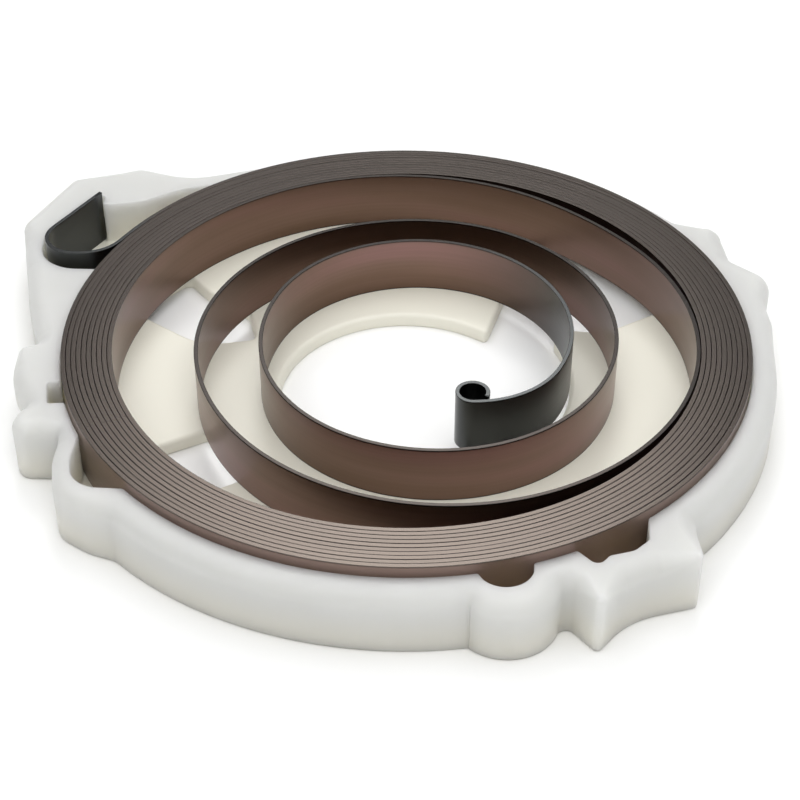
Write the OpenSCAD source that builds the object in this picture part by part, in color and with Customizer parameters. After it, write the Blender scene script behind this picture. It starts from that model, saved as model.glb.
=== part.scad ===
// Recoil starter spring: a long steel strip wound flat in its moulded cassette.
// The coil axis is z. The underside of the cassette is z = 0 and the hook lies at the back left.

/* [Strip] */
// Width of the strip, which is the height of the coil
strip_width = 6; // [4:0.1:9]
// Thickness of the strip
strip_thickness = 0.4; // [0.3:0.01:0.44]
// Gap between neighbouring turns of the packed coil
turn_gap = 0.095; // [0.08:0.005:0.12]
// Outer radius of the packed coil
pack_radius = 34; // [32:0.25:37]
// Whole turns that lie packed against the wall
pack_turns = 10; // [8:1:11]

/* [Strip ends] */
// Straight length of the hook, from its bend to its tip
hook_leg = 8.2; // [7:0.1:8.3]
// Radius of the hook's tight bend, to the middle of the strip
hook_radius = 3.2; // [2.8:0.1:3.3]
// Radius of the easy bend from the coil into the hook
hook_lead_radius = 4.2; // [3.8:0.1:4.4]
// Radius of the rolled eye at the inner end, to the middle of the strip
eye_radius = 1.45; // [1.2:0.05:1.8]
// Angle that the eye is rolled through
eye_sweep = 300; // [240:5:310]

/* [Cassette] */
// Thickness of the floor under the coil
floor_thickness = 1.5; // [1:0.1:3]
// Thickness of the wall round the coil
wall_thickness = 2.25; // [1.8:0.05:3.5]
// Clearance between the coil and the wall
coil_clearance = 0.15; // [0.1:0.05:0.6]
// Height that the strip stands above the wall
strip_proud = 1.05; // [0:0.05:2]
// Rounding of the wall's outer top edge
edge_round = 1.8; // [0.4:0.1:2]
// Height of the underside of the left bulge, which stops short of the floor
bulge_underside = 2.6; // [0.5:0.1:3]

/* [Floor openings] */
// Radius of the hub opening
hub_radius = 12.45; // [10:0.05:13]
// Distance of the hub opening's centre in front of the coil axis
hub_offset = 1.9; // [0:0.1:2.5]
// Radius of the wider right part of the hub opening
hub_right_radius = 16.5; // [14:0.1:17]

/* [Hidden] */
$fn = 120;

wall_top = floor_thickness + strip_width - strip_proud;
cavity_radius = pack_radius + coil_clearance;
wall_radius = cavity_radius + wall_thickness;
turn_pitch = strip_thickness + turn_gap;

// Facet steps, in degrees, for the coil, for tight bends and for moulded corners
coil_step = 6;
bend_step = 18;
corner_step = 20;
edge_rows = 4;

// Flat width that the rounding leaves on the wall's top
top_land = 0.3;

// Where the strip enters the pack, and how far the pack runs on after its whole turns
pack_start_angle = 150;
pack_run_on = 40;
pack_start = pack_radius - strip_thickness / 2;
pack_end = pack_start - turn_pitch * (pack_turns + pack_run_on / 360);

// The free turns inside the pack: how much tighter each bend is than the pack's end, and its angle
free_bends = [
    [2.02, 57],
    [-11.48, 17],
    [3.05, 100],
    [5.39, 45],
    [4.07, 62],
    [7.47, 108],
    [9.32, 114],
    [11.45, 84],
    [11.83, 54],
    [9.53, 32],
    [13.7, 184],
    [19.51, 64]
];

// A bend is [radius, sweep]: a left turn is positive, and a sweep of 0 is a straight of that length
hook_bends = [
    [1.5, 0],
    [hook_lead_radius, -60],
    [0.9, 0],
    [hook_radius, -121],
    [hook_leg, 0]
];
coil_bends = concat(
    [for (k = [0 : 2 * pack_turns - 1]) [pack_start - turn_pitch * (2 * k + 1) / 4, -180]],
    [[pack_start - turn_pitch * (4 * pack_turns + 1) / 4, -pack_run_on]],
    [for (b = free_bends) [pack_end - b[0], -b[1]]],
    [[eye_radius, -eye_sweep]]
);

// Moulded outlines are corners [angle, distance out from a base radius, corner radius]
ear_corners = [
    [0, 0.15, 8],
    [5.5, 0.75, 4],
    [10.5, 1, 3],
    [16, 3.15, 2.5],
    [22.6, 0.8, 1.5],
    [30.8, 2.9, 2],
    [36.4, 0, 0.8]
];
lug_corners = [
    [114, 0.15, 8],
    [128, 2.5, 7],
    [132.1, 7.8, 2.5],
    [141.1, 11.17, 1.4],
    [152.8, 9.9, 1.8],
    [169.2, 2.75, 10],
    [180.3, -0.05, 0.4]
];
side_corners = [
    [182.3, 1.5, 1],
    [187.2, 2.2, 5],
    [195.4, 0.85, 1],
    [197.1, 1.85, 1.5],
    [200.55, 3.5, 1.6],
    [203.7, -1.3, 0.4],
    [208.4, 0.45, 8],
    [215.2, 2.3, 3],
    [220.5, 1.19, 5],
    [224.2, 0, 2]
];
front_corners = [
    [278.3, 0, 0.4],
    [280.6, 2.06, 4.7],
    [288.1, 2.32, 4.7],
    [292.2, -0.53, 0.8],
    [293.9, 3.76, 0.6],
    [300.4, 1.74, 8],
    [309.25, 3.85, 0.6],
    [314.5, 0, 0.6]
];

// The step under the left bulge, measured out from the wall's radius
bulge_step = [
    [181, -0.2, 0],
    [185.5, -0.2, 0],
    [190, -0.2, 0],
    [194.5, -0.2, 0],
    [194.5, 6, 0],
    [181, 6, 0]
];

// Pockets of the cavity, measured out from the cavity's radius
hook_pocket = [
    [135, -3, 0],
    [120.2, -0.4, 0],
    [131.5, 2.7, 3],
    [138.8, 3.85, 4],
    [143.7, 6.8, 0.3],
    [141.6, 7.7, 0.3],
    [142.6, 8.65, 0.4],
    [153.7, 8.53, 1.5],
    [162.4, 5.98, 4.2],
    [158.5, -1.4, 0]
];
square_pocket = [
    [193.1, -2.3, 0],
    [191.9, 0.85, 0.3],
    [197.1, 1.2, 0.3],
    [198.5, -1.45, 0]
];
corner_pocket = [
    [207.4, -2.6, 0],
    [206.6, 0.05, 0],
    [211.2, 1.5, 4],
    [216.6, 3.1, 3],
    [222.1, -0.15, 0],
    [221, -3.7, 0]
];
wave_pocket = [
    [295.7, -3.1, 0],
    [295.6, -0.1, 0.6],
    [296.7, 2.1, 0.7],
    [299.2, 1.5, 0.5],
    [302.7, 2.1, 1.5],
    [305.8, 1.75, 0.4],
    [309.5, -0.5, 0],
    [306.9, -4.1, 0]
];
round_pocket_radius = 2.5;
round_pocket_angle = 284.5;
round_pocket_reach = 0.65;

// Openings of the floor, measured in from the cavity's radius
back_slot = [
    [158, -2.9, 0.8],
    [165.3, -12.55, 6],
    [156.8, -17.6, 0.9],
    [144.9, -14, 2.5],
    [144.7, -8.55, 3],
    [142.3, -4.7, 0.8]
];
front_slot = [
    [203.6, -13.95, 1.2],
    [205, -4.15, 1],
    [220.9, -4.25, 1],
    [226, -13.15, 1.5]
];
right_window = [
    [21.8, -28.8, 0],
    [41.5, -22.5, 0],
    [61.5, -4.6, 1],
    [43.2, -4.1, 8],
    [23.1, -4.8, 1],
    [20.3, -12.2, 4],
    [27.1, -16.2, 0],
    [8.1, -20, 0]
];
hub_right_from = -52;
hub_right_to = 33;

// Point at an angle and a distance out from a base radius
function at(base, c) = (base + c[1]) * [cos(c[0]), sin(c[0])];

function unit(v) = v / norm(v);

// Points of one rounded corner at b, each with the edge rounding that it leaves room for
function corner(a, b, c, r) =
    let (
        u = unit(a - b),
        v = unit(c - b),
        half = acos(u * v) / 2,
        side = cross(b - a, c - b) > 0 ? 1 : -1,
        turn = 180 - 2 * half,
        q = b + unit(u + v) * r / sin(half),
        p = b + u * r / tan(half) - q,
        from = atan2(p[1], p[0]),
        n = max(1, ceil(turn / corner_step)),
        room = side > 0 ? 0.8 * r : edge_round
    )
    [for (i = [0 : n]) let (g = from + side * turn * i / n) [q[0] + r * cos(g), q[1] + r * sin(g), room]];

// Closed outline through rounded corners
function rounded(base, cs) =
    let (n = len(cs), p = [for (c = cs) at(base, c)])
    [for (i = [0 : n - 1])
        each cs[i][2] == 0
            ? [[p[i][0], p[i][1], edge_round]]
            : corner(p[(i + n - 1) % n], p[i], p[(i + 1) % n], cs[i][2])];

function plain_arc(from, to) = [for (g = [from : 5 : to]) [g, 0, 0]];

wall_outline = rounded(
    wall_radius,
    concat(
        plain_arc(-42, -5),
        ear_corners,
        plain_arc(40, 110),
        lug_corners,
        side_corners,
        plain_arc(227, 275),
        front_corners
    )
);

// Point a share f along a bend that starts at p with heading h
function bend_point(p, h, b, f) =
    b[1] == 0
        ? p + b[0] * f * [cos(h), sin(h)]
        : let (g = h + b[1] * f) p + sign(b[1]) * b[0] * [sin(g) - sin(h), cos(h) - cos(g)];

function bend_steps(b) =
    b[1] == 0 ? 1 : ceil(abs(b[1]) / (b[0] > 8 ? coil_step : bend_step));

// Points [x, y, heading] along a chain of bends
function walk(bends, p, h, i = 0) =
    i == len(bends)
        ? [[p[0], p[1], h]]
        : let (b = bends[i], n = bend_steps(b))
            concat(
                [for (j = [0 : n - 1]) let (q = bend_point(p, h, b, j / n)) [q[0], q[1], h + b[1] * j / n]],
                walk(bends, bend_point(p, h, b, 1), h + b[1], i + 1)
            );

// Points of the strip's face on one side of its middle line
function face(path, side) =
    [for (q = path) [q[0], q[1]] + side * strip_thickness / 2 * [-sin(q[2]), cos(q[2])]];

function reversed(list) = [for (i = [len(list) - 1 : -1 : 0]) list[i]];

pack_entry = at(pack_start, [pack_start_angle, 0]);
hook_path = walk(hook_bends, pack_entry, pack_start_angle + 90);
coil_path = walk(coil_bends, pack_entry, pack_start_angle - 90);
strip_path = concat(
    [for (i = [len(hook_path) - 1 : -1 : 1]) [hook_path[i][0], hook_path[i][1], hook_path[i][2] - 180]],
    coil_path
);

// Solid block of the cassette with its outer top edge rounded, as rows of points up the outside
module cassette_block() {
    n = len(wall_outline);
    flat = [for (q = wall_outline) [q[0], q[1]]];
    // Room for the rounding at each point, which leaves a land beside the cavity
    room = [for (q = wall_outline)
        min(edge_round, q[2], norm([q[0], q[1]]) - cavity_radius - top_land)];
    // Rounding at each point, eased off towards tight corners
    ease = [for (a = flat) min([for (j = [0 : n - 1]) room[j] + 0.4 * norm(a - flat[j])])];
    // Outward direction at each point, long enough to keep both neighbouring edges parallel
    out = [for (j = [0 : n - 1])
        let (
            d = unit(flat[j] - flat[(j + n - 1) % n]),
            e = unit(flat[(j + 1) % n] - flat[j])
        )
        [d[1] + e[1], -d[0] - e[0]] / (1 + d * e)];
    rows = [for (k = [0 : edge_rows]) 90 * k / edge_rows];
    points = concat(
        [for (q = flat) [q[0], q[1], 0]],
        [for (g = rows)
            each [for (j = [0 : n - 1])
                let (q = flat[j] - out[j] * ease[j] * (1 - cos(g)))
                [q[0], q[1], wall_top - ease[j] * (1 - sin(g))]]]
    );
    top = (edge_rows + 1) * n;
    faces = concat(
        [[for (j = [0 : n - 1]) j]],
        [[for (j = [n - 1 : -1 : 0]) top + j]],
        [for (k = [0 : edge_rows])
            each [for (j = [0 : n - 1])
                let (a = k * n + j, b = k * n + (j + 1) % n)
                each [[a, a + n, b + n], [a, b + n, b]]]]
    );
    polyhedron(points = points, faces = faces, convexity = 10);
}

module pocket(corners) {
    polygon([for (q = rounded(cavity_radius, corners)) [q[0], q[1]]]);
}

// Everything above the floor that the coil and its hook need clear
module cavity() {
    translate([0, 0, floor_thickness]) {
        cylinder(h = wall_top, r = cavity_radius);
        for (corners = [hook_pocket, square_pocket, corner_pocket, wave_pocket])
            linear_extrude(height = wall_top)
                pocket(corners);
        translate(at(cavity_radius, [round_pocket_angle, -round_pocket_reach]))
            cylinder(h = wall_top, r = round_pocket_radius);
    }
}

module openings_plan() {
    translate([0, -hub_offset])
        circle(r = hub_radius);
    intersection() {
        circle(r = hub_right_radius);
        polygon([
            [0, 0],
            at(2 * hub_right_radius, [hub_right_from, 0]),
            at(3 * hub_right_radius, [(hub_right_from + hub_right_to) / 2, 0]),
            at(2 * hub_right_radius, [hub_right_to, 0])
        ]);
    }
    pocket(right_window);
    pocket(back_slot);
    pocket(front_slot);
}

module spring_cassette() {
    color([0.88, 0.87, 0.83])
        difference() {
            cassette_block();
            cavity();
            translate([0, 0, -1])
                linear_extrude(height = floor_thickness + 2)
                    openings_plan();
            translate([0, 0, -1])
                linear_extrude(height = bulge_underside + 1)
                    polygon([for (c = bulge_step) at(wall_radius, c)]);
        }
}

module spring_strip() {
    color([0.42, 0.36, 0.32])
        translate([0, 0, floor_thickness])
            linear_extrude(height = strip_width)
                polygon(concat(face(strip_path, 1), reversed(face(strip_path, -1))));
}

spring_cassette();
spring_strip();
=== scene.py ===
# %% [markdown]
# # A recoil starter spring in its cassette
# A long flat steel strip is wound on edge and lies in a shallow white moulding. Its outer end is bent into
# a hook, and its inner end is rolled into an eye for the rope pulley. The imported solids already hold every
# size, so they are loaded first, as a frame that never moves. Each finer surface is then worked out with
# numpy in the same place, because a surface that is a formula can be read, checked and changed.

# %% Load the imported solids
import math

import bmesh
import bpy
import numpy as np
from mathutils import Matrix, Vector
from mathutils.geometry import delaunay_2d_cdt


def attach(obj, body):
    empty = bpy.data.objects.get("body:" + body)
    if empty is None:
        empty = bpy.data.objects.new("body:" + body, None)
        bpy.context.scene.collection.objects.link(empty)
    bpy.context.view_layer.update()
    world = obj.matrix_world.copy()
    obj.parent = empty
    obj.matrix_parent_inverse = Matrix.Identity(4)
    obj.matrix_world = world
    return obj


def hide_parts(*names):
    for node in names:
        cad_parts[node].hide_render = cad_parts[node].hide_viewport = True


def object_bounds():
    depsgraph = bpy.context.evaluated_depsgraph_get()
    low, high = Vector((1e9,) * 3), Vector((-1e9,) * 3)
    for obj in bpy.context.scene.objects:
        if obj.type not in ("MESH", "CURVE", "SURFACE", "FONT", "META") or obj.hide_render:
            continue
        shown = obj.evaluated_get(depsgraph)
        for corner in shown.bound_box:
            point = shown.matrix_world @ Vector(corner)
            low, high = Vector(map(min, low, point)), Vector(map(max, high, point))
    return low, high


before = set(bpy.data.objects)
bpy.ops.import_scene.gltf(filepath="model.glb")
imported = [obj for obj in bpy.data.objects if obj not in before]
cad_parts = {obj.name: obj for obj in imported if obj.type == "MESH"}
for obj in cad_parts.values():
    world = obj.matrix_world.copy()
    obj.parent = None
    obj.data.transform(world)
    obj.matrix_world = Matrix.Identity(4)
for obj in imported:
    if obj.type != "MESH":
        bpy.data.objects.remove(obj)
cad_box = [list(map(float, corner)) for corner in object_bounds()]
MM = 0.001
print("solids:", sorted(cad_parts), "box in mm:", np.round(np.array(cad_box) / MM, 2).tolist())

# %% [markdown]
# ## Sizes
# The drawing's sizes are repeated here in millimetres, because this lesson reads nothing but the frame. The
# coil's axis is z, and z = 0 is the underside of the cassette. Angles are in degrees, counter-clockwise from
# x seen from above. The strip goes from its hook into the coil at the entry angle.

# %% Sizes of the strip and the cassette
strip_width = 6.0
strip_thickness = 0.4
turn_gap = 0.095
turn_pitch = strip_thickness + turn_gap
pack_radius = 34.0
pack_turns = 10
entry_angle = 150.0
floor_thickness = 1.5
strip_proud = 1.05
wall_top = floor_thickness + strip_width - strip_proud
coil_clearance = 0.15
cavity_radius = pack_radius + coil_clearance
wall_thickness = 2.25
wall_radius = cavity_radius + wall_thickness
axis = (0.0, 0.0)
print("coil radius", pack_radius, "wall radius", wall_radius, "wall top", wall_top, "mm")

# %% [markdown]
# ## The strip's path
# A wound strip is a chain of bends, and each bend is an arc that starts where the last one ended, in the
# same direction. A spiral curve object could follow the pack, but not the hook, the eye and the uneven free
# turns, so the chain is walked bend by bend. Each bend fills its own array of points at once.

# %% Walk along a chain of bends
coil_step = 2.0
tight_step = 9.0
tight_radius = 8.0
straight_steps = 6


def bend_chain(bends, start, heading):
    """Points and headings along bends [radius, sweep in degrees], where a left turn is positive.

    A point a share f along a bend lies at p + s r (sin(h + f t) - sin h, cos h - cos(h + f t)): p and h are
    the place and the heading where the bend starts, t is its sweep, r its radius and s the sign of t. A
    sweep of 0 is a straight stretch, r long.
    """
    here = np.array(start, float)
    facing = math.radians(heading)
    points, headings = [], []
    for radius, sweep in bends:
        step = coil_step if radius > tight_radius else tight_step
        count = straight_steps if sweep == 0 else max(2, math.ceil(abs(sweep) / step))
        share = np.arange(count + 1) / count
        turned = facing + math.radians(sweep) * share
        if sweep == 0:
            bend = here + radius * share[:, None] * np.array([math.cos(facing), math.sin(facing)])
        else:
            arc = np.stack([np.sin(turned) - math.sin(facing), math.cos(facing) - np.cos(turned)], 1)
            bend = here + math.copysign(radius, sweep) * arc
        points.append(bend[:-1])
        headings.append(turned[:-1])
        here, facing = bend[-1], turned[-1]
    return np.vstack(points + [here[None]]), np.append(np.concatenate(headings), facing)


print("a half turn of 10 mm takes", len(bend_chain([(10, 180)], axis, 0)[0]), "points")

# %% [markdown]
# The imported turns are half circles, each a little tighter than the one before. The free turns spring away
# from the pack unevenly, so each of their bends says how much tighter it is than the pack's last turn, and
# the eye is one tight bend. The hook is walked outwards from the pack, so it is turned round and joined on.

# %% Bends of the hook, the coil and the eye
pack_run_on = 40.0
eye_radius = 1.45
eye_sweep = 300.0
free_bends = [(2.02, 57), (-11.48, 17), (3.05, 100), (5.39, 45), (4.07, 62), (7.47, 108),
              (9.32, 114), (11.45, 84), (11.83, 54), (9.53, 32), (13.7, 184), (19.51, 64)]
hook_bends = [(1.5, 0), (4.2, -60), (0.9, 0), (3.2, -121), (8.2, 0)]
pack_start = pack_radius - strip_thickness / 2
pack_end = pack_start - turn_pitch * (pack_turns + pack_run_on / 360)
coil_bends = [(pack_start - turn_pitch * (2 * half + 1) / 4, -180) for half in range(2 * pack_turns)]
coil_bends += [(pack_start - turn_pitch * (4 * pack_turns + 1) / 4, -pack_run_on)]
coil_bends += [(pack_end - tighter, -sweep) for tighter, sweep in free_bends]
coil_bends += [(eye_radius, -eye_sweep)]
print("bends of the hook:", len(hook_bends), "bends of the coil:", len(coil_bends))

# %% [markdown]
# The two chains start at the same place, back to back. Joined into one path, it runs from the hook's tip to
# the eye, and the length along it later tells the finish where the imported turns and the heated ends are.

# %% One path from the hook's tip to the eye
entry = pack_start * np.array([math.cos(math.radians(entry_angle)), math.sin(math.radians(entry_angle))])
hook_points, hook_headings = bend_chain(hook_bends, entry, entry_angle + 90)
coil_points, coil_headings = bend_chain(coil_bends, entry, entry_angle - 90)
path = np.vstack([hook_points[:0:-1], coil_points])
heading = np.concatenate([hook_headings[:0:-1] - math.pi, coil_headings])
along = np.concatenate([[0], np.cumsum(np.linalg.norm(np.diff(path, axis=0), axis=1))])
hook_length = along[len(hook_points) - 1]
pack_length = 2 * math.pi * pack_turns * (pack_start + pack_end) / 2
print("path points:", len(path), "strip length in mm:", round(along[-1], 1))

# %% [markdown]
# ## The strip
# Rolled spring strip has broad flat faces and narrow edges that are slightly rounded by the rolls. A curve
# with a bevel could give it, but its section couldn't change along the way. So a rounded rectangle is
# carried along the path: one parameter goes along the strip and the other goes round its section. Points
# close beside the corners keep the faces and the narrow edges flat under smooth shading.

# %% Section of the strip
edge_radius = 0.04
face_support = 0.16
edge_support = 0.01


def strip_section(half_t, half_w, radius):
    """A rounded rectangle [across, up, edge share], counter-clockwise.

    Each corner is a quarter circle, its centre + radius (cos g, sin g). Between the corners lie five points
    on each face and two on each edge. The edge share is 1 on the corners and edges, and 0 on the faces.
    """
    quarter_steps = np.radians([0, 30, 60, 90])
    arcs = []
    for x, y, turn in ((1, 1, 0), (-1, 1, 90), (-1, -1, 180), (1, -1, 270)):
        g = quarter_steps + math.radians(turn)
        centre_x = x * (half_t - radius)
        centre_y = y * (half_w - radius)
        corner = [centre_x + radius * np.cos(g), centre_y + radius * np.sin(g), np.ones(len(g))]
        arcs.append(np.stack(corner, 1))
    limit = half_w - radius - face_support
    rise = np.array([-limit, -half_w / 2, 0, half_w / 2, limit])
    right = np.stack([np.full(len(rise), half_t), rise, np.zeros(len(rise))], 1)
    flat = half_t - radius - edge_support
    top = np.array([[flat, half_w, 1], [-flat, half_w, 1]])
    other_side = np.array([-1, -1, 1])
    return np.vstack([right, arcs[0], top, arcs[1], right * other_side, arcs[2], top * other_side, arcs[3]])


section = strip_section(strip_thickness / 2, strip_width / 2, edge_radius)
across, up, edge_share = section.T
print("points round the section:", len(section))

# %% [markdown]
# ## From points to a mesh
# A grid of points becomes a mesh when each face names the points at its corners. Adding faces one by one
# would be slow, so all the faces of a grid are numbered at once, and from_pydata takes the whole list.

# %% Helpers for meshes
def grid_quads(rows, columns):
    """Quads between neighbouring rows of a grid of point numbers whose columns close into a ring.

    Point (i, j) has the number i times the columns, plus j, and the column after the last one is the first.
    """
    i, j = np.meshgrid(np.arange(rows - 1), np.arange(columns), indexing="ij")
    after = (j + 1) % columns
    corners = [i * columns + j, i * columns + after, (i + 1) * columns + after, (i + 1) * columns + j]
    return np.stack(corners, -1).reshape(-1, 4)


def new_piece(name, points, faces, smooth):
    """A mesh object at the origin from points in millimetres and faces as lists of point numbers."""
    mesh = bpy.data.meshes.new(name)
    mesh.from_pydata((points * MM).tolist(), [], faces)
    mesh.polygons.foreach_set("use_smooth", smooth)
    piece = bpy.data.objects.new(name, mesh)
    bpy.context.scene.collection.objects.link(piece)
    return piece


print("quads on a grid of 2 rows and 3 columns:", len(grid_quads(2, 3)))

# %% [markdown]
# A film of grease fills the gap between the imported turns, so that hardly a line shows between their edges.
# The film could be a piece of its own, but it would be too thin to see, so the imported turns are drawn
# thicker by it. The strip's upper edge is never quite level, and two slow waves lower it a little.

# %% Carry the section along the path
grease_film = 0.065
film_run_in = 10.0
sag_size = 0.03
sag_waves = (15.3, 9.7)
sag_shift = 1.3
film_start = hook_length
film_end = hook_length + pack_length
film_places = [film_start, film_start + film_run_in, film_end, film_end + film_run_in]
packed = np.interp(along, film_places, [0, 1, 1, 0])
left = np.stack([-np.sin(heading), np.cos(heading)], 1)
spread = across[None] + grease_film / 2 * packed[:, None] * np.sign(across)[None]
plan = path[:, None] + left[:, None] * spread[..., None]
waves = np.sin(along / sag_waves[0]) + np.sin(along / sag_waves[1] + sag_shift)
sag = sag_size * (1 + waves / 2)
height = floor_thickness + strip_width / 2 + up[None, :] - sag[:, None] * (up > 0)[None, :]
print("upper edge lower by", round(float(sag.min()), 3), "to", round(float(sag.max()), 3), "mm")

# %% [markdown]
# The strip was sheared off at the hook, and a shear leaves an uneven edge. Noise would roughen it, but two
# waves up the width are enough, and they give the same edge each time. The grid's first and last rows close
# the strip's two ends.

# %% Shear the tip and close the strip
tip_sizes = (0.16, 0.1)
tip_waves = (1.9, 5.3)
tip_shift = 0.6
ahead = np.array([math.cos(heading[0]), math.sin(heading[0])])
tip = tip_sizes[0] * (1 + np.sin(tip_waves[0] * up + tip_shift))
tip += tip_sizes[1] * (1 + np.sin(tip_waves[1] * up))
plan[0] += ahead * tip[:, None]
strip_points = np.concatenate([plan, height[..., None]], -1).reshape(-1, 3)
ring = np.arange(len(section))
strip_faces = grid_quads(len(path), len(section)).tolist()
strip_faces += [ring[::-1].tolist(), (ring + (len(path) - 1) * len(section)).tolist()]
strip = new_piece("wound_strip", strip_points, strip_faces, [True] * (len(strip_faces) - 2) + [False, False])
print("strip faces:", len(strip_faces))

# %% [markdown]
# A finish that follows the strip needs to know how far along it is, and whether it is on a face or an edge.
# A pattern in space would cut across the turns, so the strip gets coordinates of its own. The length and the
# height go into a UV map, in metres, and the nodes read the length and the edge share as attributes.

# %% Give the strip its own coordinates
along_points = np.repeat(along, len(section))
up_points = np.tile(up, len(path))
corner_point = np.zeros(len(strip.data.loops), int)
strip.data.loops.foreach_get("vertex_index", corner_point)
strip_map = strip.data.uv_layers.new(name="along_strip")
strip_map.uv.foreach_set("vector", np.stack([along_points, up_points], 1)[corner_point].ravel() * MM)
for label, numbers in (("along_mm", along_points), ("edge_share", np.tile(edge_share, len(path)))):
    strip.data.attributes.new(label, "FLOAT", "POINT").data.foreach_set("value", numbers)
print("strip coordinates: 0 to", round(along[-1], 1), "mm")

# %% [markdown]
# ## Outlines of the cassette
# The moulding's plan is round with lobes, lugs and pockets. It could be drawn as a curve by hand, but then
# no size could be read from it. So each outline is a list of corners, given as an angle, a distance out from
# a base radius and a corner radius, as in the drawing.

# %% Place corners and arcs
def at(base, corners):
    """Corners [angle, distance out, corner radius] as [x, y, corner radius]: (base + distance)(cos, sin)."""
    angle, distance, radius = np.array(corners, float).T
    reach = base + distance
    return np.stack([reach * np.cos(np.radians(angle)), reach * np.sin(np.radians(angle)), radius], 1)


def round_arc(centre, radius, first, last, step):
    """Points [x, y, 0] along a circle, centre + radius (cos g, sin g), from one angle to another."""
    g = np.radians(np.linspace(first, last, max(2, round(abs(last - first) / step) + 1)))
    return np.stack([centre[0] + radius * np.cos(g), centre[1] + radius * np.sin(g), np.zeros(len(g))], 1)


def turning(loop):
    """Signed area of a loop, half the sum of its edges' cross products, positive if counter-clockwise."""
    x, y = loop[:, 0], loop[:, 1]
    return 0.5 * float(np.sum(x * np.roll(y, -1) - np.roll(x, -1) * y))


print("points on a quarter circle in steps of 1 degree:", len(round_arc(axis, wall_radius, 0, 90, 1)))

# %% [markdown]
# A mould's corners are never sharp, so the outline's corners are rounded, all at once. A Bevel modifier has
# one width for all and overlaps where lobes lie close together, and here each corner has its own radius. A
# corner also says how much room it leaves for rounding the edge above it, on its inner and its outer side.

# %% Round the corners of an outline
arc_points = 25
room_share = 0.8
ample_room = 9.0
least_length = 1e-9


def unit(vectors):
    """Vectors divided by their lengths, where a length of 0 counts as a tiny one."""
    return vectors / np.maximum(np.linalg.norm(vectors, axis=1, keepdims=True), least_length)


def rounded_corners(corners):
    """Points [x, y, room inside, room outside] of a counter-clockwise loop whose corners are rounded.

    The arc at a corner has its centre r / sin(half the corner's angle) along the bisector, and it starts
    r / tan(half the angle) back along the edge. A corner leaves room for 0.8 r on its own inner side.
    """
    corners = corners if turning(corners) > 0 else corners[::-1]
    tips, radii = corners[:, :2], corners[:, 2]
    back = unit(np.roll(tips, 1, 0) - tips)
    on = unit(np.roll(tips, -1, 0) - tips)
    half = np.arccos(np.clip((back * on).sum(1), -1, 1)) / 2
    side = np.where(back[:, 1] * on[:, 0] - back[:, 0] * on[:, 1] > 0, 1.0, -1.0)
    centre = tips + unit(back + on) * (radii / np.sin(half))[:, None]
    first = tips + back * (radii / np.tan(half))[:, None] - centre
    sweep = side * (math.pi - 2 * half)
    g = np.arctan2(first[:, 1], first[:, 0])[:, None] + sweep[:, None] * np.linspace(0, 1, arc_points)
    arcs = centre[:, None] + radii[:, None, None] * np.stack([np.cos(g), np.sin(g)], -1)
    arcs = np.where((radii > 0)[:, None, None], arcs, tips[:, None])
    rooms = [np.where((side == inner) & (radii > 0), room_share * radii, ample_room) for inner in (1, -1)]
    rooms = np.broadcast_to(np.stack(rooms, 1)[:, None], arcs.shape)
    return np.concatenate([arcs, rooms], -1).reshape(-1, 4)


corner_count = len(rounded_corners(at(wall_radius, [(0, 0, 1), (120, 0, 1), (240, 0, 1)])))
print("points on a triangle with round corners:", corner_count)

# %% [markdown]
# A profile that is carried along a loop needs even steps, or its faces become slivers. So the rounded loop
# is cut again into steps of equal length, and each point gets a normal that points out of the loop.

# %% Cut a loop into even steps
loop_step = 0.16


def rounded_loop(corners):
    """A closed loop [x, y, room inside, room outside]: each column is read off at equal lengths along it."""
    loop = rounded_corners(corners)
    loop = np.vstack([loop, loop[:1]])
    length = np.concatenate([[0], np.cumsum(np.linalg.norm(np.diff(loop[:, :2], axis=0), axis=1))])
    even = np.linspace(0, length[-1], round(length[-1] / loop_step), endpoint=False)
    return np.stack([np.interp(even, length, column) for column in loop.T], 1)


def outward(loop):
    """Unit normals of a counter-clockwise loop: the chord between each point's neighbours, turned right."""
    chord = np.roll(loop[:, :2], -1, 0) - np.roll(loop[:, :2], 1, 0)
    return unit(np.stack([chord[:, 1], -chord[:, 0]], 1))


print("even steps round a circle of 1 mm:", len(rounded_loop(round_arc(axis, 1.0, 0, 350, 10))))

# %% [markdown]
# ## The wall's outline
# The wall is round where nothing else is needed. The large lug at the back left holds the hook, and the ears
# and lobes fit the housing, so that the cassette can't turn in it. One loop takes them all in order, which
# leaves no seams between wall and lobes.

# %% Loop of the outer wall
ears = [(0, 0.15, 8), (5.5, 0.75, 4), (10.5, 1, 3), (16, 3.15, 2.5), (22.6, 0.8, 1.5), (30.8, 2.9, 2),
        (36.4, 0, 0.8)]
lug = [(114, 0.15, 8), (128, 2.5, 7), (132.1, 7.8, 2.5), (141.1, 11.17, 1.4), (152.8, 9.9, 1.8),
       (169.2, 2.75, 10), (180.3, -0.05, 0.4)]
side_lobes = [(182.3, 1.5, 1), (187.2, 2.2, 5), (195.4, 0.85, 1), (197.1, 1.85, 1.5), (200.55, 3.5, 1.6),
              (203.7, -1.3, 0.4), (208.4, 0.45, 8), (215.2, 2.3, 3), (220.5, 1.19, 5), (224.2, 0, 2)]
front_lobes = [(278.3, 0, 0.4), (280.6, 2.06, 4.7), (288.1, 2.32, 4.7), (292.2, -0.53, 0.8),
               (293.9, 3.76, 0.6), (300.4, 1.74, 8), (309.25, 3.85, 0.6), (314.5, 0, 0.6)]
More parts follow.
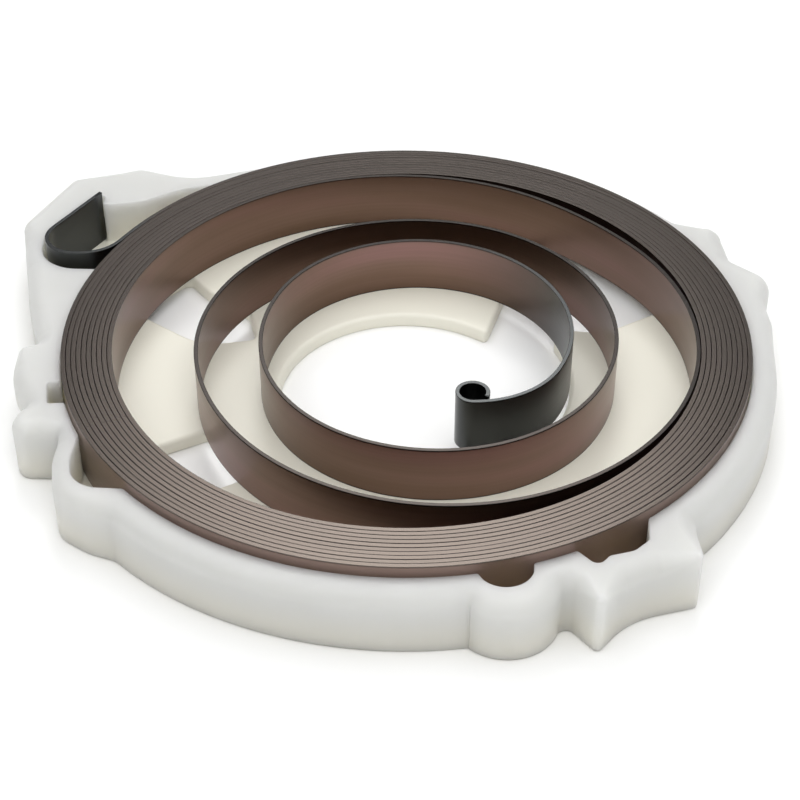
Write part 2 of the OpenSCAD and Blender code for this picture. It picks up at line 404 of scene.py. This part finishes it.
wall_loop = rounded_loop(np.vstack([
    round_arc(axis, wall_radius, -42, -5, 1), at(wall_radius, ears),
    round_arc(axis, wall_radius, 40, 110, 1), at(wall_radius, lug), at(wall_radius, side_lobes),
    round_arc(axis, wall_radius, 227, 275, 1), at(wall_radius, front_lobes)]))
print("wall loop:", len(wall_loop), "points, area in mm2:", round(turning(wall_loop), 1))

# %% [markdown]
# ## The cavity's outline
# The cavity holds the coil, and its wall stays close beside the outermost turn, which winds inwards by one
# pitch on its way round. A plain circle would leave a gap at the left that the real part doesn't show.
# Pockets leave the hook room, and let the coil be seen at the front.

# %% Follow the coil with the cavity's wall
def coil_fit(angle):
    """Distance of the wall from the cavity's radius: one pitch inwards for a full turn from the entry."""
    return -turn_pitch * ((entry_angle - angle) % 360) / 360


def beside_coil(first, last):
    """Points [x, y, 0] of the wall beside the coil from one angle to another, about 1 degree apart."""
    g = np.linspace(first, last, max(2, round(last - first) + 1))
    return at(cavity_radius, np.stack([g, coil_fit(g), np.zeros(len(g))], 1))


def pocket(corners):
    """Corners [x, y, corner radius] of a pocket, whose first and last lie on the wall beside the coil."""
    corners = np.array(corners, float)
    corners[[0, -1], 1] += coil_fit(corners[[0, -1], 0])
    return at(cavity_radius, corners)


print("wall nearer by", round(-coil_fit(entry_angle + 30), 3), "mm at the left")

# %% [markdown]
# The pockets are the wide one for the hook, a small square and a corner at the left, a half round and a wavy
# one at the front. Each could be cut out of the round cavity, but a single loop that goes in and out of them
# keeps the wall in one piece. Stretches beside the coil lie between them.

# %% Loop of the cavity
hook_pocket = [(121.7, 0, 2), (131.5, 2.7, 3), (138.8, 3.85, 4), (143.7, 6.8, 0.3), (141.6, 7.7, 0.3),
               (142.6, 8.65, 0.4), (153.7, 8.53, 1.5), (162.4, 5.98, 4.2), (159.36, 0, 0.4)]
square_pocket = [(192.15, 0, 0.3), (191.9, 0.85, 0.3), (197.1, 1.2, 0.3), (197.73, 0, 0.3)]
corner_pocket = [(206.5, 0, 0.4), (211.2, 1.5, 4), (216.6, 3.1, 3), (221.8, 0, 0.4)]
wave_pocket = [(295.65, 0, 0.3), (296.7, 2.1, 0.7), (299.2, 1.5, 0.5), (302.7, 2.1, 1.5), (305.8, 1.75, 0.4),
               (308.7, 0, 0.4)]
half_round_place = (284.5, -0.65, 0)
half_round_radius = 2.5
half_round = round_arc(at(cavity_radius, [half_round_place])[0], half_round_radius, 220, 349, 8)
cavity_loop = rounded_loop(np.vstack([
    beside_coil(-50, 120), pocket(hook_pocket), beside_coil(161.3, 191.3), pocket(square_pocket),
    beside_coil(198.5, 205.7), pocket(corner_pocket), beside_coil(222.8, 279.4), pocket([(280.3, 0, 0.3)]),
    half_round, pocket([(288.7, 0, 0.3)]), beside_coil(289.6, 294.8), pocket(wave_pocket)]))
print("cavity loop:", len(cavity_loop), "points, area in mm2:", round(turning(cavity_loop), 1))

# %% [markdown]
# ## Openings in the floor
# The pulley's hub reaches the eye through an opening that runs into a wide window at the right, and two
# slots open the floor at the left. Boolean cuts could make them, but their rims would stay sharp. Each is a
# loop of its own, so that a soft rim can be carried along it.

# %% Loops of the floor's openings
hub_centre = (0.0, -1.9)
hub_radius = 12.45
window_radius = 16.5
window_corners = [(27.1, -16.2, 0.8), (20.3, -12.2, 3.4), (23.1, -4.8, 1), (43.2, -4.1, 8), (61.5, -4.6, 1)]
hub_opening = rounded_loop(np.vstack([
    round_arc(hub_centre, hub_radius, 53, 307, 2), [[8.55, -10.95, 0.5], [10.16, -13.0, 0.4]],
    round_arc(axis, window_radius, -48, 18, 2), [[15.32, 6.1, 1.0]], at(cavity_radius, window_corners),
    [[8.5, 7.4, 0.5]]]))
back_slot = rounded_loop(at(cavity_radius, [(142.3, -4.7, 0.8), (158, -2.9, 0.8), (165.3, -12.55, 6),
                                            (156.8, -17.6, 0.9), (144.9, -14, 2.5), (144.7, -8.55, 3)]))
front_slot = rounded_loop(at(cavity_radius, [(203.6, -13.95, 1.2), (205, -4.15, 1), (220.9, -4.25, 1),
                                             (226, -13.15, 1.5)]))
openings = [hub_opening, back_slot, front_slot]
print("areas of the openings in mm2:", [round(turning(loop), 1) for loop in openings])

# %% [markdown]
# ## Rims of the cassette
# A moulding has no sharp outer edges: its wall rolls over at the top, and the floor's openings have softened
# rims. A bevel on a cut block can fail where lobes meet, so each rim is a profile carried along its own
# loop. Where a corner is tight the rounding shrinks, and it grows again gently on both sides.

# %% Carry rims along the loops
ease_slope = 0.4
cassette_points, cassette_faces, cassette_smooth = [], [], []


def eased(loop, size, rooms):
    """A rounding size along a loop: the least, over all points, of what fits there plus 0.4 per mm away."""
    reach = np.sqrt(((loop[:, None, :2] - loop[None, :, :2]) ** 2).sum(-1))
    return (np.minimum(size, rooms)[None] + ease_slope * reach).min(1)


def quarter(steps):
    """Shares (1 - cos, 1 - sin) of a quarter circle in equal steps, each as a column."""
    g = np.radians(np.linspace(0, 90, steps + 1))[:, None]
    return 1 - np.cos(g), 1 - np.sin(g)


def add_rim(loop, offsets, heights):
    """A closed strip along a loop: row k lies at loop + offset k times the outward normal, at height k.

    An outer rim lists its rows upwards, and the rim of an opening lists them downwards, so that faces point
    out. The rim's point numbers come back, one row for each row of the profile.
    """
    start = sum(len(part) for part in cassette_points)
    rows = loop[None, :, :2] + outward(loop)[None] * offsets[..., None]
    cassette_points.append(np.concatenate([rows, heights[..., None]], -1).reshape(-1, 3))
    quads = grid_quads(len(offsets), len(loop)) + start
    cassette_faces.extend(quads.tolist())
    cassette_smooth.extend([True] * len(quads))
    return start + np.arange(offsets.size).reshape(offsets.shape)


print("a quarter circle in 3 steps goes in by", np.round(quarter(3)[0].ravel(), 2).tolist())

# %% [markdown]
# The flat faces between the rims have holes and lobes. One large face with holes isn't possible in a mesh,
# so a triangulation fills it that keeps the rims' own points, and no gap opens at the rims. It also fills
# the holes and what lies outside, so only triangles that an odd number of rims goes round are kept.

# %% Fill flat faces between rims
same_point = 1e-7
part_size = 1000


def enclosed(points, a, b):
    """Whether an odd number of the edges from a to b cross the ray that leaves each point to the right."""
    x, y = points.T[..., None]
    rise = np.where(a[:, 1] == b[:, 1], 1, b[:, 1] - a[:, 1])
    crossed = ((a[:, 1] > y) != (b[:, 1] > y)) & (x < a[:, 0] + (y - a[:, 1]) * (b[:, 0] - a[:, 0]) / rise)
    return crossed.sum(1) % 2 == 1


def add_flat(rings, facing_up):
    """Triangles between rings of point numbers at one height, turned by the sign of their area to face out.

    Each ring's edges go from a point to the next one, and the last edge goes back to the first point.
    """
    numbers = np.concatenate(rings)
    plan_points = np.vstack(cassette_points)[numbers, :2]
    places = np.split(np.arange(len(numbers)), np.cumsum([len(ring_part) for ring_part in rings])[:-1])
    after = np.concatenate([np.roll(place, -1) for place in places])
    edges = np.stack([np.arange(len(after)), after], 1).tolist()
    found = delaunay_2d_cdt(list(map(Vector, plan_points.tolist())), edges, [], 0, same_point)
    given = np.array([sources[0] for sources in found[3]])
    tris = given[np.array(found[2])]
    middles = np.array_split(plan_points[tris].mean(1), 1 + len(tris) // part_size)
    tris = tris[np.concatenate([enclosed(part, plan_points, plan_points[after]) for part in middles])]
    side_a = plan_points[tris[:, 1]] - plan_points[tris[:, 0]]
    side_b = plan_points[tris[:, 2]] - plan_points[tris[:, 0]]
    wrong = (side_a[:, 0] * side_b[:, 1] - side_a[:, 1] * side_b[:, 0] > 0) != facing_up
    tris[wrong] = tris[wrong][:, ::-1]
    cassette_faces.extend(numbers[tris].tolist())
    cassette_smooth.extend([False] * len(tris))


wall_plan = wall_loop[:, :2]
axis_inside = enclosed(np.array([axis]), wall_plan, np.roll(wall_plan, -1, 0))
print("axis inside the wall's loop:", bool(axis_inside[0]))

# %% [markdown]
# ## The outer wall
# The wall's top edge rolls over in a quarter circle, as wide as the wall allows, with a narrow land left
# inside it. The bulge at the far left stops short of the floor, so the wall is carried in two parts, and the
# upper one follows the whole outline.

# %% Upper wall
edge_round = 1.8
land_width = 0.4
bulge_underside = 2.6
edge_steps = 8
wall_width = np.sqrt(((wall_loop[:, None, :2] - cavity_loop[None, :, :2]) ** 2).sum(-1)).min(1)
ease = eased(wall_loop, edge_round, np.minimum(wall_loop[:, 2], wall_width - land_width))
flat = np.zeros((1, len(wall_loop)))
near, rise = quarter(edge_steps)
upper_heights = np.vstack([flat + bulge_underside, wall_top - ease * rise])
upper = add_rim(wall_loop, np.vstack([flat, -ease * near]), upper_heights)
print("top edge rounding in mm:", round(float(ease.min()), 2), "to", round(float(ease.max()), 2))

# %% [markdown]
# The lower wall leaves the outline under the bulge and follows a circle there, a little inside the round
# wall. A cut could take the plastic away under the bulge, but it would leave a sharp foot, and here the foot
# is carried along with the rest. A flat face closes the step between the two parts and looks down.

# %% Lower wall and its step
bulge_first = 181.2
bulge_last = 194.4
step_depth = 0.2
step_angle = 0.4
foot_round = 0.3
foot_steps = 3
seam_round = 0.03
wall_angle = np.degrees(np.arctan2(wall_loop[:, 1], wall_loop[:, 0])) % 360
under = np.flatnonzero((wall_angle > bulge_first) & (wall_angle < bulge_last))
first, last = under[0], under[-1]
step_in = round_arc(axis, wall_radius - step_depth, wall_angle[first], wall_angle[last], step_angle)
step_in[:, 2] = edge_round
low_loop = np.vstack([wall_loop[:first + 1, :3], step_in, wall_loop[last:, :3]])
step_last = first + len(step_in)
low_loop[[first, first + 1, step_last, step_last + 1], 2] = seam_round
flat = np.zeros((1, len(low_loop)))
foot = eased(low_loop, foot_round, low_loop[:, 2])
near, rise = quarter(foot_steps)
lower_heights = np.vstack([foot * rise[::-1], flat + bulge_underside])
lower = add_rim(low_loop, np.vstack([-foot * near[::-1], flat]), lower_heights)
add_flat([np.concatenate([upper[0, first:last + 1], lower[-1, first + 1:step_last + 1][::-1]])], False)
print("wall points:", upper.size + lower.size)

# %% [markdown]
# ## The cavity and the floor
# The cavity's wall has a crisp upper edge, and its foot is rounded more in the pockets than beside the coil,
# where the strip stands in the corner. The openings' rims are softer above than below. One profile for each
# loop gives its upper edge, its wall and its foot together.

# %% Cavity wall and floor rims
cavity_rim = 0.12
coil_foot = 0.1
opening_rim = 0.45
opening_foot = 0.2
rim_steps = 4
near, rise = quarter(rim_steps)
cavity_angle = np.degrees(np.arctan2(cavity_loop[:, 1], cavity_loop[:, 0]))
pocket_depth = np.hypot(cavity_loop[:, 0], cavity_loop[:, 1]) - cavity_radius - coil_fit(cavity_angle)
foot_room = np.minimum(cavity_loop[:, 2], coil_foot + np.maximum(pocket_depth, 0))
top = eased(cavity_loop, cavity_rim, cavity_loop[:, 3])
foot = eased(cavity_loop, foot_round, foot_room)
cavity_heights = np.vstack([wall_top - top * rise[::-1], floor_thickness + foot * rise])
cavity = add_rim(cavity_loop, np.vstack([top * near[::-1], -foot * near]), cavity_heights)
rims = []
for loop in openings:
    top = eased(loop, opening_rim, loop[:, 3])
    foot = eased(loop, opening_foot, loop[:, 3])
    rim_heights = np.vstack([floor_thickness - top * rise[::-1], foot * rise])
    rims.append(add_rim(loop, np.vstack([top * near[::-1], foot * near]), rim_heights))
print("rim points:", cavity.size + sum(rim.size for rim in rims))

# %% [markdown]
# Three flat faces are left: the land on top of the wall, the floor, and the underside. The finish has to
# know how deep in the cavity a point is, because the plastic there is painted creamier and lighter, a
# painted glow for the warm light that goes round in the cavity. Height alone would tint the outside too, so
# the depth goes into an attribute that is 0 on the outer wall.

# %% Flat faces and the finished moulding
add_flat([upper[-1], cavity[0]], True)
add_flat([cavity[-1]] + [rim[0] for rim in rims], True)
add_flat([lower[0]] + [rim[-1] for rim in rims], False)
in_box = np.clip(np.vstack(cassette_points), *(np.array(cad_box) / MM))
cassette = new_piece("moulded_cassette", in_box, cassette_faces, cassette_smooth)
below_top = np.clip((wall_top - in_box[:, 2]) / (wall_top - floor_thickness), 0, 1)
inside = np.arange(len(in_box)) >= cavity[0, 0]
cassette.data.attributes.new("cavity_depth", "FLOAT", "POINT").data.foreach_set("value", below_top * inside)
print("cassette faces:", len(cassette_faces))

# %% [markdown]
# The upper and lower walls have the same points where they meet, each twice. They could share them from the
# start, but merging doubles is simpler. The count of edges that don't have two faces shows whether the skin
# is closed.

# %% Close the cassette's seams
seam_gap = 0.0002 * MM
work = bmesh.new()
work.from_mesh(cassette.data)
bmesh.ops.remove_doubles(work, verts=work.verts, dist=seam_gap)
open_edges = sum(not edge.is_manifold for edge in work.edges)
work.to_mesh(cassette.data)
work.free()
print("open edges left:", open_edges)

# %% [markdown]
# ## Riding on the frame
# The spring lies still in its cassette, and it works by bending, which is no joint. So both pieces ride on
# the one body, and each stands for its solid, which is hidden.

# %% Stand the pieces in for their solids
for piece, solid, finish in ((strip, "spring_strip", "strip"), (cassette, "spring_cassette", "moulding")):
    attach(piece, "root")
    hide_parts(solid)
    print(piece.name, "stands for", solid)

# %% [markdown]
# ## Helpers for finishes
# A finish is a tree of nodes. It could be put together in the editor by hand, but a script can be read and
# repeated. One function turns hex colours to linear values, as the shader wants them, and one adds a node
# with its settings, its values and its links.

# %% Colours and nodes
def linear(code):
    """An sRGB hex colour as linear red, green, blue and full alpha, by the sRGB standard's curve."""
    level = np.array([int(code[i:i + 2], 16) for i in (1, 3, 5)]) / 255
    return (*np.where(level <= 0.04045, level / 12.92, ((level + 0.055) / 1.055) ** 2.4), 1.0)


def add_node(tree, kind, links=None, values=None, stops=(), **settings):
    """A node of one kind, with its settings, its colour stops (share, hex), its values and its links.

    A Mix node's two colours are its sockets 6 and 7, and its mixed colour is its output 2.
    """
    new = tree.nodes.new(kind)
    for name, value in settings.items():
        setattr(new, name, value)
    for share, code in stops:
        new.color_ramp.elements.new(share).color = linear(code)
    if stops:
        new.color_ramp.elements.remove(new.color_ramp.elements[0])
        new.color_ramp.elements.remove(new.color_ramp.elements[-1])
    for name, value in (values or {}).items():
        new.inputs[name].default_value = value
    for name, socket in (links or {}).items():
        tree.links.new(socket, new.inputs[name])
    return new


def new_finish(name):
    """A material with an empty tree, and the tree."""
    finish = bpy.data.materials.new(name)
    finish.use_nodes = True
    finish.node_tree.nodes.clear()
    return finish, finish.node_tree


print("white as linear:", linear("#ffffff"))

# %% [markdown]
# ## Natural nylon
# The cassette is injection-moulded nylon in its natural colour. One white all over would look like paint, so
# the colour clouds a little where the flow in the mould was uneven, and warms towards the underside. The
# thin floor and the cavity's wall are painted creamier and lighter, a painted glow for the light that goes
# round in the cavity and comes back warm.

# %% Natural nylon, its colour
# To the eye: a soft milky white that lets light in at its edges, with a satin skin and no hard highlights
nylon, tree = new_finish("natural_nylon_moulded")
position = add_node(tree, "ShaderNodeTexCoord").outputs["Object"]
cloud_size = 12 * MM
cloud = add_node(tree, "ShaderNodeTexNoise", {"Vector": position},
                 {"Scale": 1 / cloud_size, "Detail": 3.0, "Roughness": 0.5})
white = add_node(tree, "ShaderNodeValToRGB", {"Fac": cloud.outputs["Fac"]},
                 stops=[(0.3, "#cdcdca"), (0.7, "#d3d3d0")])
warm_height = 4.8 * MM
level = add_node(tree, "ShaderNodeSeparateXYZ", {"Vector": position})
low = add_node(tree, "ShaderNodeMapRange", {"Value": level.outputs["Z"]},
               {"From Min": warm_height, "From Max": 0.0}, interpolation_type="SMOOTHSTEP")
tint = add_node(tree, "ShaderNodeMix", {"Factor": low.outputs["Result"], 6: white.outputs["Color"]},
                {7: linear("#d8d5c9")}, data_type="RGBA")
inner = add_node(tree, "ShaderNodeAttribute", attribute_name="cavity_depth").outputs["Fac"]
# Painted glow: deeper in the cavity the colour is painted creamier and lighter, for warm light bouncing
# round it
painted_cavity_glow = add_node(tree, "ShaderNodeMix", {"Factor": inner, 6: tint.outputs[2]},
                 {7: linear("#f0edde")}, data_type="RGBA")
print("nodes for the nylon's colour:", len(tree.nodes))

# %% [markdown]
# Light goes a few millimetres into nylon before it comes out again, which softens every edge, so the shader
# scatters it below the skin. The thin floor has little depth for that, and scatters less. Moulds for such
# parts are spark-eroded, and their fine grain gives the skin its satin look.

# %% Natural nylon, its skin
# Mould grain about 0.3 mm across, drawn coarser than the real one so that it shows
grain_size = 0.3 * MM
grain_depth = 0.03 * MM
scatter_depth = 4.5 * MM
thin_from = 0.7
thin_scatter = 0.1
skin_roughness = (0.4, 0.52)
grain = add_node(tree, "ShaderNodeTexNoise", {"Vector": position}, {"Scale": 1 / grain_size, "Detail": 2.0})
bump = add_node(tree, "ShaderNodeBump", {"Height": grain.outputs["Fac"]},
                {"Strength": 0.12, "Distance": grain_depth})
satin = add_node(tree, "ShaderNodeMapRange", {"Value": cloud.outputs["Fac"]},
                 {"To Min": skin_roughness[0], "To Max": skin_roughness[1]})
glow = add_node(tree, "ShaderNodeMapRange", {"Value": inner},
                {"From Min": thin_from, "To Min": 1.0, "To Max": thin_scatter})
skin = add_node(tree, "ShaderNodeBsdfPrincipled",
                {"Base Color": painted_cavity_glow.outputs[2], "Roughness": satin.outputs["Result"],
                 "Normal": bump.outputs["Normal"], "Subsurface Weight": glow.outputs["Result"]},
                {"IOR": 1.53, "Subsurface Scale": scatter_depth, "Subsurface Radius": (1.0, 1.0, 0.95)})
add_node(tree, "ShaderNodeOutputMaterial", {"Surface": skin.outputs["BSDF"]})
cassette.data.materials.append(nylon)
print("finish:", nylon.name)

# %% [markdown]
# ## Tempered spring steel
# The strip is rolled carbon steel, hardened and tempered: heat leaves a thin brown oxide on its faces, and
# the rolls leave fine lines along it. A pattern in space would cut across the turns, so both patterns follow
# the strip's own map.

# %% Tempered spring steel, its faces
# To the eye: brown faces with a dull gleam along the strip, greyer edges, a film of oil and blackened ends
steel, tree = new_finish("tempered_spring_steel_rolled")
lengthwise = add_node(tree, "ShaderNodeUVMap", uv_map="along_strip").outputs["UV"]
heat_size = (40 * MM, 5 * MM)
stretch = add_node(tree, "ShaderNodeMapping", {"Vector": lengthwise},
                   {"Scale": (1 / heat_size[0], 1 / heat_size[1], 1.0)})
heat = add_node(tree, "ShaderNodeTexNoise", {"Vector": stretch.outputs["Vector"]},
                {"Scale": 1.0, "Detail": 2.0})
brown = add_node(tree, "ShaderNodeValToRGB", {"Fac": heat.outputs["Fac"]},
                 stops=[(0.28, "#6c5546"), (0.5, "#7a6155"), (0.72, "#866660")])
# Rolling lines 30 mm long and 0.25 mm apart, drawn coarser than the real ones so that they show
line_size = (30 * MM, 0.25 * MM)
line_shade = (0.86, 1.12)
lines = add_node(tree, "ShaderNodeMapping", {"Vector": lengthwise},
                 {"Scale": (1 / line_size[0], 1 / line_size[1], 1.0)})
rolled = add_node(tree, "ShaderNodeTexNoise", {"Vector": lines.outputs["Vector"]},
                  {"Scale": 1.0, "Detail": 3.0})
shade = add_node(tree, "ShaderNodeMapRange", {"Value": rolled.outputs["Fac"]},
                 {"To Min": line_shade[0], "To Max": line_shade[1]})
lined = add_node(tree, "ShaderNodeMix", {6: brown.outputs["Color"], 7: shade.outputs["Result"]},
                 {"Factor": 1.0}, data_type="RGBA", blend_type="MULTIPLY")
print("nodes for the steel's faces:", len(tree.nodes))

# %% [markdown]
# The outermost turn is painted paler, a painted reflection of the white wall close beside it. The strip was
# slit from a wider sheet, so its edges have less of the brown. They are grey where the turns are packed, and
# on the free turns they are painted darker, a painted shade for the dark that those edges mirror. The length
# along the strip says where each colour goes, so nothing has to be painted by hand.

# %% Tempered spring steel, painted reflection and painted shade
hook_run = 22.0
outer_fade = 4.0
free_fade = 80.0
outer_end = 2 * math.pi * pack_radius + hook_run
how_far = add_node(tree, "ShaderNodeAttribute", attribute_name="along_mm").outputs["Fac"]
# Painted reflection: the outermost turn is painted paler, for the white wall beside it
outer_reflection_share = add_node(tree, "ShaderNodeMapRange", {"Value": how_far},
                  {"From Min": outer_end, "From Max": outer_end - outer_fade})
painted_outer_reflection = add_node(tree, "ShaderNodeMix", {"Factor": outer_reflection_share.outputs["Result"], 6: lined.outputs[2]},
                 {7: linear("#8f7970")}, data_type="RGBA")
# Painted shade: the edges of the free turns are painted darker than the packed ones
free = add_node(tree, "ShaderNodeMapRange", {"Value": how_far},
                {"From Min": pack_length, "From Max": pack_length + free_fade})
edge = add_node(tree, "ShaderNodeMix", {"Factor": free.outputs["Result"]},
                {6: linear("#4a423c"), 7: linear("#2c2622")}, data_type="RGBA")
on_edge = add_node(tree, "ShaderNodeAttribute", attribute_name="edge_share").outputs["Fac"]
grey = add_node(tree, "ShaderNodeMix", {"Factor": on_edge, 6: painted_outer_reflection.outputs[2], 7: edge.outputs[2]},
                data_type="RGBA")
print("outermost turn ends at", round(outer_end, 1), "mm")

# %% [markdown]
# Both ends were heated again, because hard steel would break when the hook and the eye are bent, and the
# heat blackened them. A mask painted on the mesh could show it, but two fades over the length are exact and
# smooth.

# %% Tempered spring steel, its heated ends
hook_burn = (30.0, 20.0)
eye_burn = (48.0, 26.0)
eye_places = [float(along[-1] - length) for length in eye_burn]
start_black = add_node(tree, "ShaderNodeMapRange", {"Value": how_far},
                       {"From Min": hook_burn[0], "From Max": hook_burn[1]}, interpolation_type="SMOOTHSTEP")
end_black = add_node(tree, "ShaderNodeMapRange", {"Value": how_far},
                     {"From Min": eye_places[0], "From Max": eye_places[1]}, interpolation_type="SMOOTHSTEP")
burnt = add_node(tree, "ShaderNodeMath", {0: start_black.outputs["Result"], 1: end_black.outputs["Result"]},
                 operation="MAXIMUM")
colour = add_node(tree, "ShaderNodeMix", {"Factor": burnt.outputs[0], 6: grey.outputs[2]},
                  {7: linear("#3f4141")}, data_type="RGBA")
print("black up to", hook_burn[1], "mm from the tip and over the last", eye_burn[1], "mm")

# %% [markdown]
# Rolled steel has a dull gleam that follows its lines, and the edges are a little smoother. The strip is
# greased, and a thin coat of oil over the metal gives the second, softer gleam. Oil could be a shell of its
# own, but the shader's coat does the same with no extra mesh.

# %% Tempered spring steel, its skin
line_depth = 0.01 * MM
face_roughness = (0.28, 0.42)
edge_polish = 0.72
dull = add_node(tree, "ShaderNodeMapRange", {"Value": rolled.outputs["Fac"]},
                {"To Min": face_roughness[0], "To Max": face_roughness[1]})
smoother = add_node(tree, "ShaderNodeMapRange", {"Value": on_edge}, {"To Min": 1.0, "To Max": edge_polish})
gloss = add_node(tree, "ShaderNodeMath", {0: dull.outputs["Result"], 1: smoother.outputs["Result"]},
                 operation="MULTIPLY")
bump = add_node(tree, "ShaderNodeBump", {"Height": rolled.outputs["Fac"]},
                {"Strength": 0.15, "Distance": line_depth})
skin = add_node(tree, "ShaderNodeBsdfPrincipled",
                {"Base Color": colour.outputs[2], "Roughness": gloss.outputs[0],
                 "Normal": bump.outputs["Normal"]},
                {"Metallic": 1.0, "Coat Weight": 0.4, "Coat Roughness": 0.3, "Coat IOR": 1.45})
add_node(tree, "ShaderNodeOutputMaterial", {"Surface": skin.outputs["BSDF"]})
strip.data.materials.append(steel)
print("finish:", steel.name)

# %% [markdown]
# ## Floor
# The part lies on a plain pale floor. A square sheet would show its corners in low views, so the floor is a
# wide disc, and its matt paint takes only a soft shadow.

# %% Pale floor
# To the eye: matt white with no gleam of its own
floor_radius = 560
floor_step = 3
floor_points = round_arc(axis, floor_radius, 0, 360 - floor_step, floor_step)
floor = new_piece("pale_floor", floor_points, [list(range(len(floor_points)))], [False])
pale, tree = new_finish("pale_floor_paint")
skin = add_node(tree, "ShaderNodeBsdfPrincipled", values={"Base Color": linear("#fbfbfa"), "Roughness": 0.8})
add_node(tree, "ShaderNodeOutputMaterial", {"Surface": skin.outputs["BSDF"]})
floor.data.materials.append(pale)
print("floor:", floor.name, "with", len(floor_points), "corners")

# %% [markdown]
# ## Light
# A studio room is brighter above than at the sides, and metal shows it: the strip's faces mirror the darker
# sides, and its edges mirror the ceiling. An even white room would bleach the steel. The camera itself sees
# the room as a pale backdrop.

# %% Room light
side_light = 0.24
ceiling_light = 0.5
side_rise = 0.4
ceiling_rise = 0.8
world = bpy.data.worlds.new("soft_room")
world.use_nodes = True
tree = world.node_tree
tree.nodes.clear()
direction = add_node(tree, "ShaderNodeTexCoord").outputs["Generated"]
upwards = add_node(tree, "ShaderNodeSeparateXYZ", {"Vector": direction})
graded = add_node(tree, "ShaderNodeMapRange", {"Value": upwards.outputs["Z"]},
                  {"From Min": side_rise, "From Max": ceiling_rise, "To Min": side_light,
                   "To Max": ceiling_light})
seen = add_node(tree, "ShaderNodeLightPath").outputs["Is Camera Ray"]
strength = add_node(tree, "ShaderNodeMath", {0: graded.outputs["Result"], 1: seen}, operation="MAXIMUM")
room = add_node(tree, "ShaderNodeBackground", {"Strength": strength.outputs[0]},
                {"Color": linear("#f4f5f7")})
add_node(tree, "ShaderNodeOutputWorld", {"Surface": room.outputs["Background"]})
bpy.context.scene.world = world
print("room light:", side_light, "at the sides,", ceiling_light, "above")

# %% [markdown]
# Three softboxes light the part: a wide one above, a small one behind that gives the edges at the front
# their gleam, and a weak one in front that opens the shadows. Point lamps would throw hard shadows, so all
# three are areas. Each has its place, the point it looks at and its size, in metres, and its power in watts.

# %% Softboxes
softboxes = [("top_softbox", (0, -0.15, 0.7), (0, -0.15, 0), (1.2, 1.2), 5.8),
             ("back_softbox", (0, 0.75, 0.8), (0, 0, 0), (0.34, 0.3), 2.4),
             ("front_softbox", (0.05, -0.6, 0.3), (0, 0, 0), (0.5, 0.3), 0.6)]
for name, stand, aim, size, power in softboxes:
    lamp = bpy.data.lights.new(name, "AREA")
    lamp.shape = "RECTANGLE"
    lamp.size, lamp.size_y = size
    lamp.energy = power
    lamp_object = bpy.data.objects.new(name, lamp)
    lamp_object.location = stand
    lamp_object.rotation_euler = (Vector(aim) - Vector(stand)).to_track_quat("-Z", "Y").to_euler()
    bpy.context.scene.collection.objects.link(lamp_object)
    print("light:", name, power, "W")

# %% [markdown]
# ## Camera
# The camera stands where the photograph's did. It could be moved by eye until the picture fits, but its
# place, its tilt and its lens follow more closely from the ellipses that the coil's circles make in the
# picture. Its place is in metres.

# %% Camera
camera_place = (-0.000516, -0.143653, 0.113213)
camera_tilt = 38.607
camera = bpy.data.cameras.new("photo_camera")
camera.lens = 81.61
camera.sensor_width = 36.0
camera.clip_start = 0.01
camera_object = bpy.data.objects.new("photo_camera", camera)
camera_object.location = camera_place
camera_object.rotation_euler = (math.radians(90 - camera_tilt), 0, 0)
bpy.context.scene.collection.objects.link(camera_object)
bpy.context.scene.camera = camera_object
bpy.context.scene.view_settings.view_transform = "Standard"
print("camera:", camera.lens, "mm lens, looking down by", camera_tilt, "degrees")
